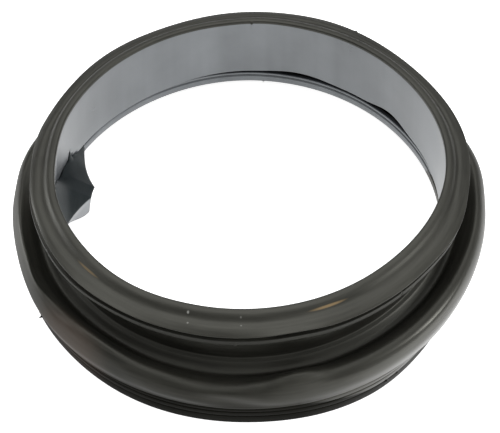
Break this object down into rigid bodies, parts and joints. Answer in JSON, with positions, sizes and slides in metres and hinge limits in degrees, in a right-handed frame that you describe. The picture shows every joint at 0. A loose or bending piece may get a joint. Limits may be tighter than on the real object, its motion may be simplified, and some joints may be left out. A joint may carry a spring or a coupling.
{
  "type": "washing machine door seal",
  "caption": "Ring-shaped rubber bellows that seals a front-loading drum opening to its door, with a lip and collar on the door side and a ribbed foot on the tub side.",
  "frame": {"origin": "centre of the foot's flat face, at the bottom of the part", "axes": "+Z along the seal's own axis, from the tub side to the door side; +X to the right of the door opening"},
  "size_m": [0.4036, 0.4019, 0.1018],
  "materials": {
    "seal_rubber": "satin black moulded rubber, glossier on the inner neck wall"
  },
  "bodies": {
    "root": {"door_seal": "seal_rubber"}
  },
  "joints": []
}
